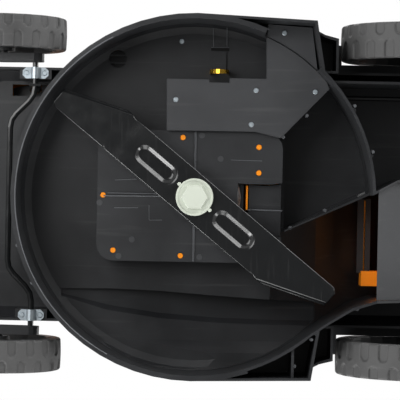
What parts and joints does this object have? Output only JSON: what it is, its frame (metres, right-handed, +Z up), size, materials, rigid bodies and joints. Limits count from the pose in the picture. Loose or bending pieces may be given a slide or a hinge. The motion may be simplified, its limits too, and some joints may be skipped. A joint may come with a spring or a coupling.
{
  "type": "lawn mower",
  "caption": "Battery lawn mower with a moulded deck, rear discharge tunnel, cranked wheel axles, orange hood and a folding push handle.",
  "frame": {"origin": "on the ground under the middle of the mower's bounding box", "axes": "+X forward, +Y to the mower's left, +Z up"},
  "size_m": [1.2898, 0.4336, 0.9726],
  "materials": {
    "black_painted_steel": "satin black coating",
    "black_plastic": "moulded, fine grain",
    "brass": "bright strip",
    "dark_grey_plastic": "moulded",
    "foam": "closed-cell foam",
    "grey_plastic": "moulded",
    "orange_plastic": "moulded, satin gloss",
    "pale_nylon": "natural",
    "steel": "bright",
    "tyre_grey": "moulded tread",
    "zinc_plate": "zinc plated"
  },
  "bodies": {
    "deck": {"deck_shell": "black_plastic", "motor_well_cover": "dark_grey_plastic", "side_cover_plate": "grey_plastic", "corner_cover": "grey_plastic", "latch_spring": "brass", "tunnel_floor_plate": "grey_plastic", "mulch_plug": "orange_plastic", "top_cover": "orange_plastic", "hatch_pin": "steel", "battery_dock": "dark_grey_plastic", "battery_pack_left": "black_plastic", "battery_pack_right": "black_plastic", "controller_box": "black_plastic", "motor_can": "steel", "motor_cap": "black_plastic", "front_clip_left": "zinc_plate", "front_clip_right": "zinc_plate", "rear_clip_left": "zinc_plate", "rear_clip_right": "zinc_plate", "detent_spring": "steel", "flap_pin": "steel", "carry_handle": "black_plastic"},
    "cutter": {"rotor_shaft": "steel", "blade_carrier": "black_plastic", "blade": "black_painted_steel", "blade_bolt_cap": "pale_nylon"},
    "front_axle_set": {"front_axle": "black_painted_steel", "front_arm_left": "black_plastic", "front_arm_right": "black_plastic"},
    "rear_axle_set": {"rear_axle": "black_painted_steel", "rear_arm_left": "black_plastic", "rear_arm_right": "black_plastic", "height_lever": "black_painted_steel", "lever_grip": "orange_plastic"},
    "link": {"height_link": "steel"},
    "front_wheel_left": {"front_tyre_left": "tyre_grey", "front_rim_left": "black_plastic"},
    "front_wheel_right": {"front_tyre_right": "tyre_grey", "front_rim_right": "black_plastic"},
    "rear_wheel_left": {"rear_tyre_left": "tyre_grey", "rear_rim_left": "black_plastic"},
    "rear_wheel_right": {"rear_tyre_right": "tyre_grey", "rear_rim_right": "black_plastic"},
    "flap": {"rear_flap": "dark_grey_plastic"},
    "hatch": {"battery_hatch": "dark_grey_plastic"},
    "lower_handle": {"lower_tube_left": "black_plastic", "lower_tube_right": "black_plastic", "lower_brace": "black_plastic", "cam_bolt_left": "steel", "cam_bolt_right": "steel"},
    "upper_handle": {"upper_handle": "black_plastic", "handle_grip": "foam", "switch_box": "black_plastic"},
    "cam_left": {"cam_lever_left": "dark_grey_plastic"},
    "cam_right": {"cam_lever_right": "dark_grey_plastic"},
    "knob_left": {"handle_knob_left": "black_plastic"},
    "knob_right": {"handle_knob_right": "black_plastic"},
    "bail": {"bail_lever": "black_painted_steel"},
    "button": {"start_button": "orange_plastic"},
    "key": {"safety_key": "orange_plastic"}
  },
  "joints": [
    {"name": "cutter_spin", "type": "hinge", "parent": "deck", "child": "cutter", "pos_m": [0.33868, 0, 0], "axis": [0, 0, 1], "continuous": true},
    {"name": "height_adjust", "type": "hinge", "parent": "deck", "child": "rear_axle_set", "pos_m": [0.02608, 0, 0.095], "axis": [0, 1, 0], "range_deg": [-28, 28]},
    {"name": "front_axle_turn", "type": "hinge", "parent": "deck", "child": "front_axle_set", "pos_m": [0.53208, 0, 0.07], "axis": [0, 1, 0], "range_deg": [-28, 28]},
    {"name": "link_turn", "type": "hinge", "parent": "rear_axle_set", "child": "link", "pos_m": [0.02608, 0.126, 0.125], "axis": [0, 1, 0], "range_deg": [-28, 28]},
    {"name": "front_wheel_left_spin", "type": "hinge", "parent": "front_axle_set", "child": "front_wheel_left", "pos_m": [0.57068, 0.21, 0.075], "axis": [0, 1, 0], "continuous": true},
    {"name": "front_wheel_right_spin", "type": "hinge", "parent": "front_axle_set", "child": "front_wheel_right", "pos_m": [0.57068, -0.21, 0.075], "axis": [0, 1, 0], "continuous": true},
    {"name": "rear_wheel_left_spin", "type": "hinge", "parent": "rear_axle_set", "child": "rear_wheel_left", "pos_m": [0.06468, 0.21, 0.1], "axis": [0, 1, 0], "continuous": true},
    {"name": "rear_wheel_right_spin", "type": "hinge", "parent": "rear_axle_set", "child": "rear_wheel_right", "pos_m": [0.06468, -0.21, 0.1], "axis": [0, 1, 0], "continuous": true},
    {"name": "flap_hinge", "type": "hinge", "parent": "deck", "child": "flap", "pos_m": [-0.00432, 0, 0.206], "axis": [0, 1, 0], "range_deg": [0, 95], "stiffness_Nm_per_rad": 0.05, "springref_deg": -17.19},
    {"name": "hatch_hinge", "type": "hinge", "parent": "deck", "child": "hatch", "pos_m": [0.32268, 0, 0.246], "axis": [0, -1, 0], "range_deg": [-80, 0]},
    {"name": "handle_fold", "type": "hinge", "parent": "deck", "child": "lower_handle", "pos_m": [0.03868, 0, 0.245], "axis": [0, 1, 0], "range_deg": [0, 126]},
    {"name": "upper_fold", "type": "hinge", "parent": "lower_handle", "child": "upper_handle", "pos_m": [-0.2825, 0, 0.60171], "axis": [0, -1, 0], "range_deg": [0, 160]},
    {"name": "cam_left_turn", "type": "hinge", "parent": "upper_handle", "child": "cam_left", "pos_m": [-0.2825, 0.1846, 0.60171], "axis": [-0.7431, 0, -0.6691], "range_deg": [0, 100]},
    {"name": "cam_right_turn", "type": "hinge", "parent": "upper_handle", "child": "cam_right", "pos_m": [-0.2825, -0.1846, 0.60171], "axis": [0.7431, 0, 0.6691], "range_deg": [0, 100]},
    {"name": "knob_left_turn", "type": "hinge", "parent": "deck", "child": "knob_left", "pos_m": [0.03868, 0.16, 0.245], "axis": [0, 1, 0], "continuous": true},
    {"name": "knob_right_turn", "type": "hinge", "parent": "deck", "child": "knob_right", "pos_m": [0.03868, -0.16, 0.245], "axis": [0, 1, 0], "continuous": true},
    {"name": "bail_turn", "type": "hinge", "parent": "upper_handle", "child": "bail", "pos_m": [-0.52339, 0, 0.86924], "axis": [0, 1, 0], "range_deg": [-19.5, 0], "stiffness_Nm_per_rad": 0.6, "springref_deg": 34.38},
    {"name": "start_button_press", "type": "slide", "parent": "upper_handle", "child": "button", "axis": [-0.7431, 0, -0.6691], "range_m": [0, 0.004], "stiffness_N_per_m": 300, "springref_m": -0.003},
    {"name": "safety_key_pull", "type": "slide", "parent": "upper_handle", "child": "key", "axis": [0, 1, 0], "range_m": [0, 0.014]}
  ],
  "couplings": [
    {"joint": "front_axle_turn", "follows": "height_adjust", "ratio": 1},
    {"joint": "link_turn", "follows": "height_adjust", "ratio": -1}
  ]
}
